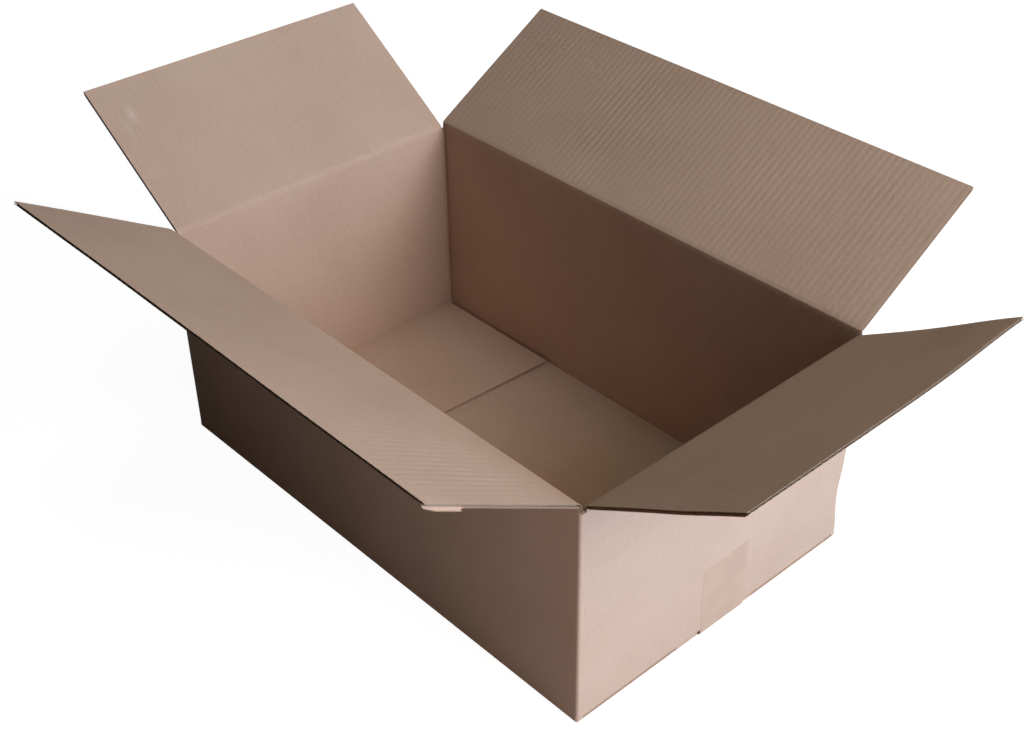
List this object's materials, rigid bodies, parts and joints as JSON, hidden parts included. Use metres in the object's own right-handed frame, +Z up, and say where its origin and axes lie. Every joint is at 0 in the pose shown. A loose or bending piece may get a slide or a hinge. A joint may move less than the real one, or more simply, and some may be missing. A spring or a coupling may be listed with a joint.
{
  "type": "open corrugated cardboard box",
  "caption": "Plain brown corrugated carton standing open, with four hinged top flaps and a bottom closed by tape.",
  "frame": {"origin": "on the floor under the middle of the box, on the underside of the closing tape", "axes": "+X along the long sides towards the right short wall, +Y across towards the back long wall, +Z up"},
  "size_m": [0.7435, 0.5529, 0.2869],
  "materials": {
    "kraft_board": "matte unprinted kraft liner with faint flute lines",
    "tan_tape": "thin tan packing tape with a low sheen"
  },
  "bodies": {
    "carton": {"carton_body": "kraft_board", "closure_tape": "tan_tape"},
    "front_flap": {"top_flap_front": "kraft_board"},
    "back_flap": {"top_flap_back": "kraft_board"},
    "right_flap": {"top_flap_right": "kraft_board"},
    "left_flap": {"top_flap_left": "kraft_board"}
  },
  "joints": [
    {"name": "front_flap_fold", "type": "hinge", "parent": "carton", "child": "front_flap", "pos_m": [0, -0.1494, 0.204], "axis": [-1, 0, 0], "range_deg": [-95.5, 149.5]},
    {"name": "back_flap_fold", "type": "hinge", "parent": "carton", "child": "back_flap", "pos_m": [0, 0.1494, 0.204], "axis": [1, 0, 0], "range_deg": [-96, 149]},
    {"name": "right_flap_fold", "type": "hinge", "parent": "carton", "child": "right_flap", "pos_m": [0.2444, 0, 0.2007], "axis": [0, -1, 0], "range_deg": [-94.8, 150.2]},
    {"name": "left_flap_fold", "type": "hinge", "parent": "carton", "child": "left_flap", "pos_m": [-0.2444, 0, 0.2007], "axis": [0, 1, 0], "range_deg": [-99.2, 145.8]}
  ]
}
